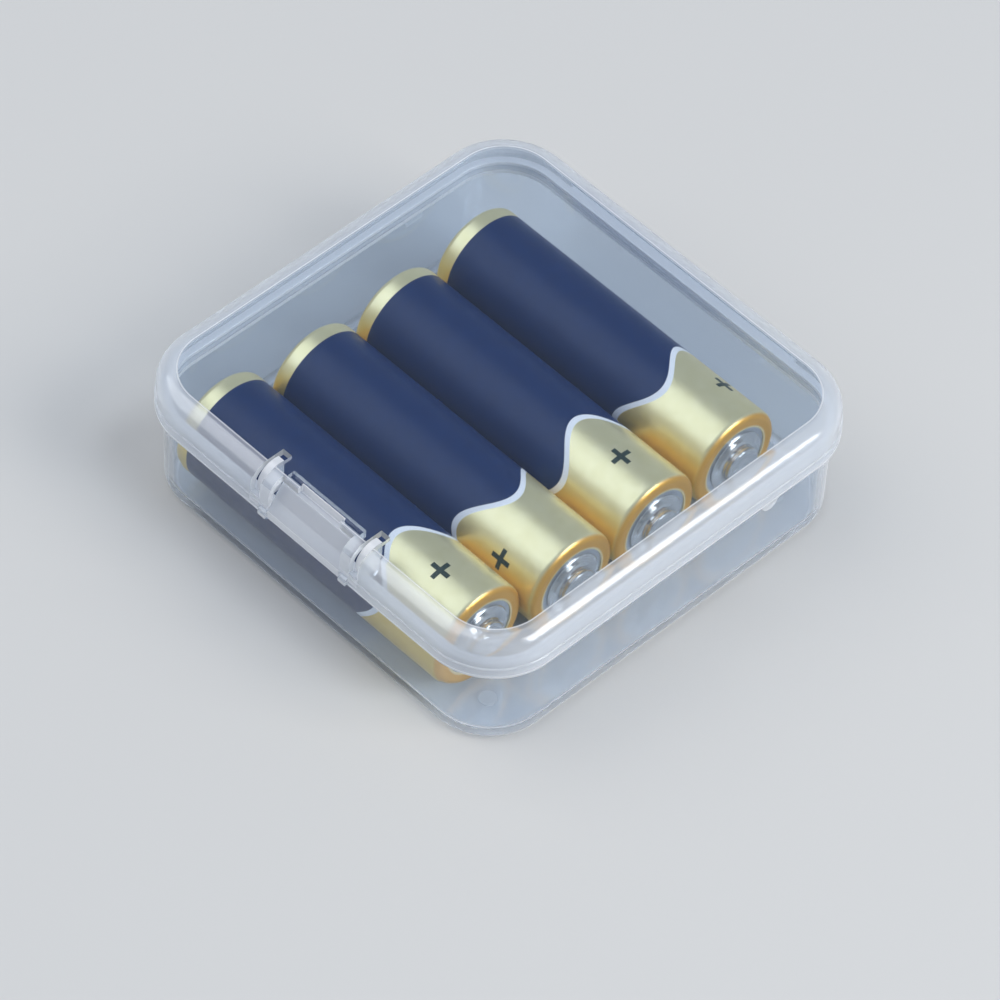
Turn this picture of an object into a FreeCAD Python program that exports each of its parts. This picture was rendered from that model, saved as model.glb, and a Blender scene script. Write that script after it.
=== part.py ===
import FreeCAD, Part
import os
import re
import Sketcher

# Clear square storage case for four AA cells.
# The origin is the middle of the tray's underside, +Z is up.
# The hinge runs along X on the -Y side, and the cells lie along X with their positive ends at +X.
# All sizes are in millimetres, the draft is in degrees.

doc = FreeCAD.newDocument("cell_case")
sheet = doc.addObject("Spreadsheet::Sheet", "Dims")

DRIVING = [
    # The cell and the room it has in the case
    ("cell_diameter", 14.3, "outside diameter over the sleeve"),
    ("cell_length", 48.7, "length from sleeve fold to sleeve fold"),
    ("cell_lift", 0.1, "clearance between a cell and the floor"),
    ("side_room", 6.3, "what the tray is wider inside than four cells"),
    ("head_room", 3.2, "room between the cells and the lid's ceiling"),
    # Where each cell lies
    ("gap_one", 0.5, "gap between the hinge wall and the first cell"),
    ("gap_two", 0.1, "gap between the first and second cells"),
    ("gap_three", 0.4, "gap between the second and third cells"),
    ("gap_four", 0.8, "gap between the third and fourth cells"),
    ("stand_one", 5.35, "negative face of the first cell to the -X wall"),
    ("stand_two", 6.95, "negative face of the second cell to the -X wall"),
    ("stand_three", 6.95, "negative face of the third cell to the -X wall"),
    ("stand_four", 6.25, "negative face of the fourth cell to the -X wall"),
    # Tray
    ("tray_wall", 1.1, "thickness of the tray's walls at the rim"),
    ("tray_floor", 1.2, "thickness of the tray's floor"),
    ("rim_over", 0.1, "height of the rim above the cells"),
    ("tray_draft", 0.6, "draft of the tray's walls"),
    ("tray_foot", 0.9, "bevel of the outside bottom edge"),
    ("tray_root", 0.9, "bevel between floor and walls inside"),
    ("mark_size", 2.4, "diameter of the round corner marks under the floor"),
    ("mark_depth", 0.3, "depth of the corner marks"),
    ("mark_place", 25.3, "distance of the corner marks from the middle"),
    # Lid
    ("lid_corner", 10.0, "plan radius of the lid's corners at the hem"),
    ("lid_wall", 0.8, "thickness of the lid's skirt above the hem"),
    ("lid_top", 1.1, "thickness of the lid's top"),
    ("lid_edge", 2.65, "rounding of the lid's top edge"),
    ("ceiling_bevel", 1.3, "bevel between the lid's ceiling and its skirt"),
    ("skirt_gap", 0.2, "clearance between skirt and tray"),
    ("skirt_overlap", 2.0, "how far the skirt reaches below the rim"),
    ("hem_height", 1.8, "height of the thicker band along the skirt's lower edge"),
    ("hem_proud", 0.15, "how far that band stands proud"),
    # Stop beads and snap parts
    ("bead_height", 0.6, "height of the bead that the skirt rests on"),
    ("bead_proud", 0.85, "how far the bead stands out of the tray"),
    ("bead_length", 41.0, "length of each stop bead"),
    ("ledge_height", 0.8, "height of the snap ledge at the front rim"),
    ("ledge_proud", 0.55, "how far the snap ledge stands out"),
    ("ledge_length", 41.0, "length of the snap ledge"),
    ("ledge_gap", 0.15, "clearance round the snap ledge in the lid"),
    ("pip_radius", 0.6, "radius of the small pips on the tray's side walls"),
    ("pip_proud", 0.12, "how far the pips stand out"),
    ("pip_place", 15.0, "distance of the pips from the middle along Y"),
    ("pip_drop", 1.1, "distance of the pips below the rim"),
    # Hinge
    ("hinge_inset", 0.5, "distance of the hinge axis from the lid's outer face"),
    ("hinge_lift", 0.25, "height of the hinge axis above the skirt's lower edge"),
    ("barrel_radius", 0.5, "radius of the round lower edge of the lid's tongue"),
    ("pin_radius", 0.4, "radius of the stub pins at the tongue's ends"),
    ("pin_length", 1.3, "length of each stub pin"),
    ("pin_gap", 0.05, "radial clearance of a stub pin in its lug"),
    ("tongue_width", 13.2, "width of the tongue"),
    ("tongue_gap", 0.2, "clearance beside the tongue"),
    ("tongue_foot", 0.95, "height of the upright foot of the tongue above the axis"),
    ("tongue_reach", 2.6, "how far the sloping plate runs in from the outer face"),
    ("tongue_drop", 1.4, "depth of the plate's upper ledge below the lid's top"),
    ("tongue_wall", 0.95, "thickness of the plate"),
    ("step_width", 7.6, "width of the narrow step behind the ledge"),
    ("step_reach", 3.5, "how far that step runs in from the outer face"),
    ("rib_reach", 4.6, "how far the rib under the step runs in"),
    ("lug_radius", 0.85, "radius of the lugs that hold the stub pins"),
    ("lug_width", 1.2, "width of each lug"),
    ("lug_web", 1.75, "how far the lug's web runs down the wall below the axis"),
    ("notch_gap", 0.35, "how far the notch under the tongue lies above the axis"),
    ("slot_head", 0.5, "clearance above the lugs in the skirt"),
    # D-shaped cheeks beside the hinge
    ("cheek_radius", 2.75, "radius of the cheeks' round side"),
    ("cheek_centre", 3.75, "distance of that radius' centre from the outer face"),
    ("cheek_drop", 2.95, "depth of that centre below the lid's top"),
    ("cheek_flat", 4.6, "distance of the cheeks' flat side from the outer face"),
    ("cheek_width", 1.05, "thickness of each cheek"),
    ("cheek_gap", 0.25, "clearance beside a cheek in the lid, and beside its lug"),
    ("cheek_leg", 3.5, "how far the cheek's leg runs down the wall below the rim"),
    # Cell parts
    ("film", 0.15, "thickness of the printed sleeve"),
    ("sleeve_bevel", 0.6, "bevel of the sleeve's and the can's ends"),
    ("fold_positive", 2.05, "width of the sleeve's fold over the positive end"),
    ("fold_negative", 0.95, "width of the sleeve's fold over the negative end"),
    ("can_wall", 0.3, "thickness of the steel can"),
    ("can_crimp", 1.1, "width of the can's crimped edge"),
    ("cover_groove", 0.4, "width of the groove between the crimp and the negative cover"),
    ("cover_step", 1.2, "width of the cover's rim round its raised face"),
    ("cover_rise", 0.2, "how far that face stands out beyond the sleeve"),
    ("seal_depth", 2.2, "depth of the nylon seal from the sleeve's end"),
    ("cap_gap", 0.7, "clearance between the positive cap's brim and the sleeve's fold"),
    ("cap_plate", 0.3, "thickness of that brim"),
    ("nub_radius", 2.75, "radius of the positive nub"),
    ("nub_height", 1.5, "height of the nub beyond the sleeve"),
    ("nub_bevel", 0.4, "bevel of the nub"),
]

for row, (alias, value, meaning) in enumerate(DRIVING, start=1):
    sheet.set("A%d" % row, str(value))
    sheet.setAlias("A%d" % row, alias)
    sheet.set("B%d" % row, meaning)
doc.recompute()


def dims(text):
    """Expression text in which every word that is an alias of the sheet points at its cell."""
    known = {alias for alias, value, meaning in DRIVING}
    return re.sub("[a-z_]+", lambda word: "Dims." + word[0] if word[0] in known else word[0], text)


# Distances measured inwards from the lid's outer face, and heights above the table
SKIRT_IN = "(hem_proud + lid_wall)"
TRAY_OUT = "(hem_proud + lid_wall + skirt_gap)"
TRAY_IN = "(hem_proud + lid_wall + skirt_gap + tray_wall)"
INNER_HALF = "(2 * cell_diameter + side_room / 2)"
LID_HALF = "(%s + %s)" % (INNER_HALF, TRAY_IN)
TRAY_HALF = "(%s + tray_wall)" % INNER_HALF
CELL_AXIS = "(tray_floor + cell_lift + cell_diameter / 2)"
RIM = "(tray_floor + cell_lift + cell_diameter + rim_over)"
CEILING = "(tray_floor + cell_lift + cell_diameter + head_room)"
TOP = "(%s + lid_top)" % CEILING
SKIRT_LOW = "(%s - skirt_overlap)" % RIM
SKIRT_CORNER = "(lid_corner - %s)" % SKIRT_IN
TRAY_CORNER = "(lid_corner - %s)" % TRAY_OUT
HINGE_Y = "(hinge_inset - %s)" % LID_HALF
HINGE_Z = "(%s + hinge_lift)" % SKIRT_LOW
DRAFT = "tan(tray_draft * 1deg)"
TONGUE_HALF = "(tongue_width / 2)"
LUG_START = "(tongue_width / 2 + tongue_gap)"
LUG_END = "(tongue_width / 2 + tongue_gap + lug_width)"
SLOT_HALF = "(tongue_width / 2 + tongue_gap + lug_width + cheek_gap)"
CHEEK_START = "(tongue_width / 2 + tongue_gap + lug_width + 2 * cheek_gap)"
CHEEK_END = "(%s + cheek_width)" % CHEEK_START
CHEEK_Z = "(%s - cheek_drop)" % TOP
LEDGE_Z = "(%s - tongue_drop)" % TOP

failures = []


def plane(body, role):
    """One of the body's own origin planes."""
    return next(item for item in body.Origin.OriginFeatures if item.Role == role)


def new_body(name):
    """A body whose label names the piece."""
    body = doc.addObject("PartDesign::Body", name)
    body.Label = name
    return body


def new_sketch(body, name, role, offset="0"):
    """A sketch on an origin plane, moved along the plane's normal."""
    sketch = body.newObject("Sketcher::SketchObject", name)
    sketch.AttachmentSupport = [(plane(body, role), "")]
    sketch.MapMode = "FlatFace"
    sketch.setExpression("AttachmentOffset.Base.z", dims(offset))
    return sketch


def size_of(text):
    """The present value of an expression, for the first guess of a sketch."""
    value = sheet.evalExpression(dims(text))
    return float(value.Value if hasattr(value, "Value") else value)


def pin_point(sketch, geometry, position, across, along):
    """Fix a point of a sketch at two distances from the origin."""
    for kind, text in (("DistanceX", across), ("DistanceY", along)):
        index = sketch.addConstraint(Sketcher.Constraint(kind, -1, 1, geometry, position, size_of(text)))
        sketch.setExpression("Constraints[%d]" % index, dims(text))


def polygon(sketch, corners):
    """A closed outline through corners given as pairs of expressions."""
    points = [FreeCAD.Vector(size_of(across), size_of(along), 0) for across, along in corners]
    count = len(corners)
    lines = [sketch.addGeometry(Part.LineSegment(points[i], points[(i + 1) % count])) for i in range(count)]
    for i, line in enumerate(lines):
        sketch.addConstraint(Sketcher.Constraint("Coincident", line, 2, lines[(i + 1) % count], 1))
    for line, (across, along) in zip(lines, corners):
        pin_point(sketch, line, 1, across, along)


def circle(sketch, across, along, radius):
    """A circle with its centre and radius given as expressions."""
    centre = FreeCAD.Vector(size_of(across), size_of(along), 0)
    ring = sketch.addGeometry(Part.Circle(centre, FreeCAD.Vector(0, 0, 1), size_of(radius)))
    pin_point(sketch, ring, 3, across, along)
    index = sketch.addConstraint(Sketcher.Constraint("Radius", ring, size_of(radius)))
    sketch.setExpression("Constraints[%d]" % index, dims(radius))


def rounded_square(sketch, half, radius):
    """A centred square with four equal round corners."""
    corner = "(%s - %s)" % (half, radius)
    inset = size_of(corner)
    outer = size_of(half)
    bend = size_of(radius)
    turns = [(1, 1, 0), (-1, 1, 90), (-1, -1, 180), (1, -1, 270)]
    arcs = []
    for side_x, side_y, start in turns:
        centre = FreeCAD.Vector(side_x * inset, side_y * inset, 0)
        ring = Part.Circle(centre, FreeCAD.Vector(0, 0, 1), bend)
        first = FreeCAD.Units.Quantity("%d deg" % start).getValueAs("rad").Value
        quarter = FreeCAD.Units.Quantity("90 deg").getValueAs("rad").Value
        arcs.append(sketch.addGeometry(Part.ArcOfCircle(ring, first, first + quarter)))
    ends = [(-inset, outer, inset, outer), (-outer, -inset, -outer, inset)]
    ends += [(inset, -outer, -inset, -outer), (outer, inset, outer, -inset)]
    for i, (x_end, y_end, x_start, y_start) in enumerate(ends):
        start = FreeCAD.Vector(x_start, y_start, 0)
        end = FreeCAD.Vector(x_end, y_end, 0)
        line = sketch.addGeometry(Part.LineSegment(start, end))
        sketch.addConstraint(Sketcher.Constraint("Tangent", arcs[i], 2, line, 1))
        sketch.addConstraint(Sketcher.Constraint("Tangent", line, 2, arcs[(i + 1) % 4], 1))
    for arc, (side_x, side_y, start) in zip(arcs, turns):
        if arc == arcs[0]:
            index = sketch.addConstraint(Sketcher.Constraint("Radius", arc, bend))
            sketch.setExpression("Constraints[%d]" % index, dims(radius))
        across = "%s * %d" % (corner, side_x)
        along = "%s * %d" % (corner, side_y)
        pin_point(sketch, arc, 3, across, along)


def pad(body, sketch, length, draft=None):
    """Raise a sketch along its normal."""
    feature = body.newObject("PartDesign::Pad", sketch.Name + "_pad")
    feature.Profile = sketch
    feature.setExpression("Length", dims(length))
    if draft:
        feature.setExpression("TaperAngle", dims(draft) + " * 1deg")
    sketch.Visibility = False
    doc.recompute()
    return feature


def pocket(body, sketch, length, draft=None, forward=False):
    """Cut a sketch against its normal, or along it, and make sure that something was cut."""
    before = body.Shape.Volume
    feature = body.newObject("PartDesign::Pocket", sketch.Name + "_pocket")
    feature.Profile = sketch
    feature.Reversed = forward
    feature.setExpression("Length", dims(length))
    if draft:
        feature.setExpression("TaperAngle", dims(draft) + " * 1deg")
    doc.recompute()
    if feature.Shape.Volume > before - 1e-6:
        failures.append(feature.Name + " cuts nothing")
    return feature


def revolve(body, sketch):
    """Turn a profile round the sketch's horizontal axis."""
    feature = body.newObject("PartDesign::Revolution", sketch.Name + "_turn")
    feature.Profile = sketch
    feature.ReferenceAxis = (sketch, ["H_Axis"])
    feature.Angle = 360
    doc.recompute()
    return feature


def dress_edges(body, chosen, size, name, bevel=False):
    """Round, or bevel, every edge of the body's present shape that the test picks."""
    base = body.Tip
    picked = ["Edge%d" % (i + 1) for i, edge in enumerate(base.Shape.Edges) if chosen(edge)]
    if not picked:
        failures.append(name + " found no edge")
        return
    feature = body.newObject("PartDesign::Chamfer" if bevel else "PartDesign::Fillet", name)
    feature.Base = (base, picked)
    feature.setExpression("Size" if bevel else "Radius", dims(size))
    doc.recompute()


def at_height(height, margin=1e-4):
    """Test for an edge that lies level at a height."""
    level = size_of(height)
    return lambda edge: max(abs(edge.BoundBox.ZMin - level), abs(edge.BoundBox.ZMax - level)) < margin


def hoop(place, radius, margin=1e-3):
    """Test for a whole circle round the X axis at a place along it."""
    where = size_of(place)
    bend = size_of(radius)

    def chosen(edge):
        if not isinstance(edge.Curve, Part.Circle):
            return False
        return abs(edge.Curve.Center.x - where) < margin and abs(edge.Curve.Radius - bend) < margin

    return chosen


def mirror_sides(body, features, name):
    """Repeat features on the other side of the YZ plane."""
    feature = body.newObject("PartDesign::Mirrored", name)
    feature.Originals = features
    feature.MirrorPlane = (plane(body, "YZ_Plane"), [""])
    body.Tip = feature
    doc.recompute()


def block(body, name, x_half, y_low, y_high, z_low, height, cut=False):
    """A block that reaches x_half to each side of the YZ plane, added to the body or cut from it."""
    sketch = new_sketch(body, name, "XY_Plane", z_low)
    minus = "-1 * %s" % x_half
    polygon(sketch, [(minus, y_low), (x_half, y_low), (x_half, y_high), (minus, y_high)])
    return pocket(body, sketch, height, forward=True) if cut else pad(body, sketch, height)


def from_outer(distance):
    """Place along Y of a distance inwards from the hinge side's outer face."""
    return "(%s - %s)" % (distance, LID_HALF)


# Tray: a drafted square tub
def make_tray():
    tray = new_body("base_tray")

    # Outside and inside of the tub
    foot_half = "(%s - %s * %s)" % (TRAY_HALF, RIM, DRAFT)
    foot_corner = "(%s - %s * %s)" % (TRAY_CORNER, RIM, DRAFT)
    outside = new_sketch(tray, "tub_outside", "XY_Plane")
    rounded_square(outside, foot_half, foot_corner)
    pad(tray, outside, RIM, "tray_draft")
    dress_edges(tray, at_height("0"), "tray_foot", "tub_foot", bevel=True)
    inside = new_sketch(tray, "tub_inside", "XY_Plane", RIM)
    rounded_square(inside, INNER_HALF, "(%s - tray_wall)" % TRAY_CORNER)
    pocket(tray, inside, "%s - tray_floor" % RIM, "-1 * tray_draft")
    dress_edges(tray, at_height("tray_floor"), "tray_root", "tub_root", bevel=True)

    # Stop beads along three sides, just under the lid's skirt
    bead_out = "(%s + bead_proud)" % TRAY_HALF
    bead_in = "(%s + tray_wall / 2)" % INNER_HALF
    bead_end = "(bead_length / 2)"
    bead_low = "(%s - bead_height)" % SKIRT_LOW
    beads = new_sketch(tray, "stop_beads", "XY_Plane", bead_low)
    minus_end = "-1 * " + bead_end
    for side in ("1", "-1"):
        inner = "%s * %s" % (side, bead_in)
        outer = "%s * %s" % (side, bead_out)
        polygon(beads, [(inner, minus_end), (outer, minus_end), (outer, bead_end), (inner, bead_end)])
    polygon(beads, [(minus_end, bead_in), (bead_end, bead_in), (bead_end, bead_out), (minus_end, bead_out)])
    pad(tray, beads, "bead_height")
    reach = size_of(bead_out)
    level = size_of(SKIRT_LOW)

    def bead_corner(edge):
        box = edge.BoundBox
        upright = box.XLength < 1e-4 and box.YLength < 1e-4 and abs(box.ZMax - level) < 1e-4
        return upright and max(abs(box.XMin), abs(box.YMin)) > reach - 1e-3

    dress_edges(tray, bead_corner, "bead_proud * 0.7", "bead_ends")

    # Snap ledge at the front rim
    block(tray, "snap_ledge", "(ledge_length / 2)", bead_in, "(%s + ledge_proud)" % TRAY_HALF,
          "(%s - ledge_height)" % RIM, "ledge_height")

    # Notch in the hinge wall for the lid's tongue
    block(tray, "tongue_notch", "(tongue_width / 2 + tongue_gap * 0.75)", from_outer("0"),
          from_outer("(%s + tray_wall)" % TRAY_IN), "(%s + notch_gap)" % HINGE_Z, "skirt_overlap * 2", cut=True)

    # Lugs with a hole for each stub pin of the lid
    wall_middle = from_outer("(%s + tray_wall / 2)" % TRAY_OUT)
    lug = new_sketch(tray, "lug_round", "YZ_Plane", LUG_START)
    circle(lug, HINGE_Y, HINGE_Z, "lug_radius")
    lug_pad = pad(tray, lug, "lug_width")
    web = new_sketch(tray, "lug_web", "YZ_Plane", LUG_START)
    lug_top = "(%s + lug_radius)" % HINGE_Z
    lug_side = "(%s - lug_radius * cos(45deg))" % HINGE_Y
    lug_under = "(%s - lug_radius * cos(45deg))" % HINGE_Z
    web_low = "(%s - lug_web)" % HINGE_Z
    polygon(web, [(HINGE_Y, lug_top), (HINGE_Y, HINGE_Z), (lug_side, lug_under), (wall_middle, web_low),
                  (wall_middle, lug_top)])
    web_pad = pad(tray, web, "lug_width")

    # D-shaped cheeks that stand on the hinge wall
    cheek = new_sketch(tray, "cheek_round", "YZ_Plane", CHEEK_START)
    circle(cheek, from_outer("cheek_centre"), CHEEK_Z, "cheek_radius")
    cheek_pad = pad(tray, cheek, "cheek_width")
    leg = new_sketch(tray, "cheek_leg", "YZ_Plane", CHEEK_START)
    leg_low = "(%s - cheek_leg)" % RIM
    leg_toe = "(%s - cheek_radius)" % CHEEK_Z
    flat_side = from_outer("cheek_flat")
    polygon(leg, [(wall_middle, leg_low), (flat_side, leg_toe), (flat_side, CHEEK_Z), (wall_middle, RIM)])
    leg_pad = pad(tray, leg, "cheek_width")
    mirror_sides(tray, [lug_pad, web_pad, cheek_pad, leg_pad], "hinge_other_side")

    # Flat inner side of both cheeks, and the bore through both lugs
    flat_far = from_outer("(cheek_centre + cheek_radius + tray_wall)")
    block(tray, "cheek_flats", "(%s + cheek_gap)" % CHEEK_END, flat_side, flat_far,
          "(%s - cheek_radius)" % CHEEK_Z, "cheek_radius * 2 + tray_wall", cut=True)
    bore = new_sketch(tray, "lug_bore", "YZ_Plane", "(%s + cheek_gap)" % LUG_END)
    circle(bore, HINGE_Y, HINGE_Z, "pin_radius + pin_gap")
    pocket(tray, bore, "2 * (%s + cheek_gap)" % LUG_END)

    # Pips on the side walls
    pips = new_sketch(tray, "side_pips", "YZ_Plane", "%s - tray_wall / 2" % TRAY_HALF)
    for side in ("1", "-1"):
        circle(pips, "%s * pip_place" % side, "%s - pip_drop" % RIM, "pip_radius")
    pip_pad = pad(tray, pips, "tray_wall / 2 + pip_proud")
    mirror_sides(tray, [pip_pad], "pips_other_side")

    # Round corner marks in the underside
    marks = new_sketch(tray, "corner_marks", "XY_Plane")
    for side_x, side_y in ((1, 1), (-1, 1), (-1, -1), (1, -1)):
        circle(marks, "%d * mark_place" % side_x, "%d * mark_place" % side_y, "mark_size / 2")
    pocket(tray, marks, "mark_depth", forward=True)
    return tray


# Lid: a shallow square cap with a soft top edge, a hem and a hinge tongue
def make_lid():
    lid = new_body("lid")

    # Outer form with its rounded top edge, and the hem round it
    shell = new_sketch(lid, "shell_outside", "XY_Plane", SKIRT_LOW)
    rounded_square(shell, "(%s - hem_proud)" % LID_HALF, "(lid_corner - hem_proud)")
    pad(lid, shell, "%s - %s" % (TOP, SKIRT_LOW))
    dress_edges(lid, at_height(TOP), "lid_edge", "soft_top_edge")
    hem = new_sketch(lid, "hem", "XY_Plane", SKIRT_LOW)
    rounded_square(hem, LID_HALF, "lid_corner")
    pad(lid, hem, "hem_height")

    # Hollow with its bevelled ceiling edge
    hollow = new_sketch(lid, "shell_inside", "XY_Plane", SKIRT_LOW)
    rounded_square(hollow, "(%s - %s)" % (LID_HALF, SKIRT_IN), SKIRT_CORNER)
    pocket(lid, hollow, "%s - %s" % (CEILING, SKIRT_LOW), forward=True)
    dress_edges(lid, at_height(CEILING), "ceiling_bevel", "ceiling_edge", bevel=True)

    # Relief for the snap ledge
    ledge_end = "(ledge_length / 2 + 2 * ledge_gap)"
    block(lid, "ledge_relief", ledge_end, "(%s - tray_wall / 2)" % TRAY_HALF,
          "(%s + ledge_proud + ledge_gap)" % TRAY_HALF, SKIRT_LOW, "skirt_overlap + 2 * ledge_gap", cut=True)

    # Skirt cut away round the lugs
    block(lid, "lug_slot", SLOT_HALF, from_outer("-1 * lug_radius"), from_outer(TRAY_IN), SKIRT_LOW,
          "hinge_lift + lug_radius + slot_head", cut=True)

    # Shoulder cut down to the sloping plate of the tongue, and the narrow step behind it
    foot_z = "(%s + tongue_foot)" % HINGE_Z
    above = "(%s + tongue_wall)" % TOP
    beyond = from_outer("-1 * tongue_wall")
    wedge = new_sketch(lid, "tongue_wedge", "YZ_Plane", TONGUE_HALF)
    polygon(wedge, [(beyond, foot_z), (from_outer("0"), foot_z), (from_outer("tongue_reach"), LEDGE_Z),
                    (from_outer("tongue_reach"), above), (beyond, above)])
    pocket(lid, wedge, "tongue_width")
    block(lid, "tongue_step", "(step_width / 2)", from_outer("tongue_reach - tongue_wall"),
          from_outer("step_reach"), LEDGE_Z, "tongue_drop * 2", cut=True)

    # The tongue: foot, sloping plate, ledge and rib in one section
    rib_low = "(%s - tongue_wall)" % LEDGE_Z
    inner_bend = "(tongue_reach + tongue_wall / 2)"
    ceiling_in = "(%s + lid_top / 2)" % CEILING
    foot_back = from_outer("2 * barrel_radius")
    section = new_sketch(lid, "tongue_section", "YZ_Plane", "-1 * %s" % TONGUE_HALF)
    polygon(section, [(from_outer("0"), HINGE_Z), (from_outer("0"), foot_z), (from_outer("tongue_reach"), LEDGE_Z),
                      (from_outer("step_reach"), LEDGE_Z), (from_outer("step_reach"), ceiling_in),
                      (from_outer("rib_reach"), ceiling_in), (from_outer("rib_reach"), rib_low),
                      (from_outer(inner_bend), rib_low), (foot_back, "(%s + notch_gap)" % HINGE_Z),
                      (foot_back, HINGE_Z)])
    pad(lid, section, "tongue_width")

    # Round lower edge of the tongue with a stub pin at each end
    barrel = new_sketch(lid, "barrel", "YZ_Plane", "-1 * %s" % TONGUE_HALF)
    circle(barrel, HINGE_Y, HINGE_Z, "barrel_radius")
    pad(lid, barrel, "tongue_width")
    pins = new_sketch(lid, "stub_pins", "YZ_Plane", "-1 * (%s + pin_length)" % TONGUE_HALF)
    circle(pins, HINGE_Y, HINGE_Z, "pin_radius")
    pad(lid, pins, "tongue_width + 2 * pin_length")

    # Slots in the shoulder for the cheeks, long enough for the cheeks' tops to swing clear
    slot_end = from_outer("(cheek_flat + cheek_width)")
    slots = new_sketch(lid, "cheek_slots", "XY_Plane", "(%s + cheek_gap)" % RIM)
    for side in ("1", "-1"):
        near = "%s * %s" % (side, SLOT_HALF)
        far = "%s * (%s + cheek_gap)" % (side, CHEEK_END)
        polygon(slots, [(near, beyond), (far, beyond), (far, slot_end), (near, slot_end)])
    pocket(lid, slots, "%s - %s" % (TOP, RIM), forward=True)
    return lid


# Sections of a cell's parts, as pairs of place along the cell and radius
RADIUS = "(cell_diameter / 2)"
CAN_RADIUS = "(cell_diameter / 2 - film)"
CAN_BORE = "(cell_diameter / 2 - film - can_wall)"
CAN_END = "(cell_length - film)"
CAN_MOUTH = "(film + can_wall)"
FOLD_POSITIVE = "(cell_diameter / 2 - fold_positive)"
FOLD_NEGATIVE = "(cell_diameter / 2 - fold_negative)"
MOUTH = "(%s - can_crimp)" % CAN_RADIUS
COVER = "(%s - cover_groove)" % MOUTH
BRIM = "(%s - cap_gap)" % FOLD_POSITIVE
FACE = "(%s - cover_step)" % COVER
CAN_BEVEL = "(sleeve_bevel - film * 0.6)"
CAP_TOP = "(cell_length + nub_height)"
CAP_BRIM = "(cell_length - film + cap_plate)"

SECTIONS = {
    "sleeve": [("0", FOLD_NEGATIVE), ("0", RADIUS), ("cell_length", RADIUS), ("cell_length", FOLD_POSITIVE),
               (CAN_END, FOLD_POSITIVE), (CAN_END, CAN_RADIUS), ("film", CAN_RADIUS), ("film", FOLD_NEGATIVE)],
    "can": [("film", MOUTH), ("film", CAN_RADIUS), (CAN_END, CAN_RADIUS), (CAN_END, "0"),
            (CAN_END + " - can_wall", "0"), (CAN_END + " - can_wall", CAN_BORE), (CAN_MOUTH, CAN_BORE),
            (CAN_MOUTH, MOUTH)],
    "cap": [(CAN_END, "0"), (CAN_END, BRIM), (CAP_BRIM, BRIM), (CAP_BRIM, "nub_radius"),
            (CAP_TOP, "nub_radius"), (CAP_TOP, "0")],
    "seal": [(CAN_MOUTH, "0"), (CAN_MOUTH, CAN_BORE), ("seal_depth", CAN_BORE), ("seal_depth", "0")],
    "cover": [("-1 * cover_rise", "0"), ("-1 * cover_rise", FACE), ("film", FACE + " + cover_rise"),
              ("film", COVER), (CAN_MOUTH, COVER), (CAN_MOUTH, "0")],
    "core": [("seal_depth", "0"), ("seal_depth", CAN_BORE), (CAN_END + " - can_wall", CAN_BORE),
             (CAN_END + " - can_wall", "0")],
}

# Edges to bevel on a cell's parts: place along the cell, radius of the edge, bevel
BEVELS = {
    "sleeve": [("0", RADIUS, "sleeve_bevel"), ("cell_length", RADIUS, "sleeve_bevel"),
               ("film", CAN_RADIUS, CAN_BEVEL), (CAN_END, CAN_RADIUS, CAN_BEVEL)],
    "can": [("film", CAN_RADIUS, CAN_BEVEL), (CAN_END, CAN_RADIUS, CAN_BEVEL)],
    "cap": [(CAP_TOP, "nub_radius", "nub_bevel")],
}

CELLS = [
    ("cell_1", "stand_one", "(gap_one + cell_diameter / 2)"),
    ("cell_2", "stand_two", "(gap_one + gap_two + cell_diameter * 3 / 2)"),
    ("cell_3", "stand_three", "(gap_one + gap_two + gap_three + cell_diameter * 5 / 2)"),
    ("cell_4", "stand_four", "(gap_one + gap_two + gap_three + gap_four + cell_diameter * 7 / 2)"),
]


def make_cell_part(cell, kind, stand, across):
    """One turned part of a cell, drawn along X from the cell's negative end and then laid in the tray."""
    body = new_body("%s_%s" % (cell, kind))
    sketch = new_sketch(body, body.Name + "_section", "XZ_Plane")
    polygon(sketch, SECTIONS[kind])
    revolve(body, sketch)
    for number, (place, edge, bend) in enumerate(BEVELS.get(kind, [])):
        dress_edges(body, hoop(place, edge), bend, "%s_bevel_%d" % (body.Name, number), bevel=True)
    body.setExpression("Placement.Base.x", dims("%s - %s" % (stand, INNER_HALF)))
    body.setExpression("Placement.Base.y", dims("%s - %s" % (across, INNER_HALF)))
    body.setExpression("Placement.Base.z", dims(CELL_AXIS))
    return body


pieces = [make_tray(), make_lid()]
for cell, stand, across in CELLS:
    pieces += [make_cell_part(cell, kind, stand, across) for kind in SECTIONS]
doc.recompute()

# Nothing is written unless every object is sound
for item in doc.Objects:
    if {"Invalid", "Error"} & set(item.State):
        failures.append("%s is %s" % (item.Name, item.State))
for piece in pieces:
    if piece.Shape.isNull() or not piece.Shape.isValid() or len(piece.Shape.Solids) != 1:
        failures.append(piece.Label + " isn't one valid solid")
if failures:
    raise RuntimeError("; ".join(failures))

os.makedirs("parts", exist_ok=True)
for piece in pieces:
    piece.Shape.exportStep("parts/%s.step" % piece.Label)
    box = piece.Shape.BoundBox
    print("%-16s volume %9.2f  x %7.2f %7.2f  y %7.2f %7.2f  z %6.2f %6.2f"
          % (piece.Label, piece.Shape.Volume, box.XMin, box.XMax, box.YMin, box.YMax, box.ZMin, box.ZMax))
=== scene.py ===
# %% [markdown]
# # A clear storage case with four AA cells
#
# The object is a small square box moulded in clear polypropylene: a tray, and a shallow lid that
# turns on a snapped-in hinge. Four AA cells lie in it side by side. Everything below is drawn in
# the same frame as the CAD model: the origin is the middle of the tray's underside, +Z is up, the
# hinge is on the -Y side and the cells' positive ends point to +X.

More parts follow.
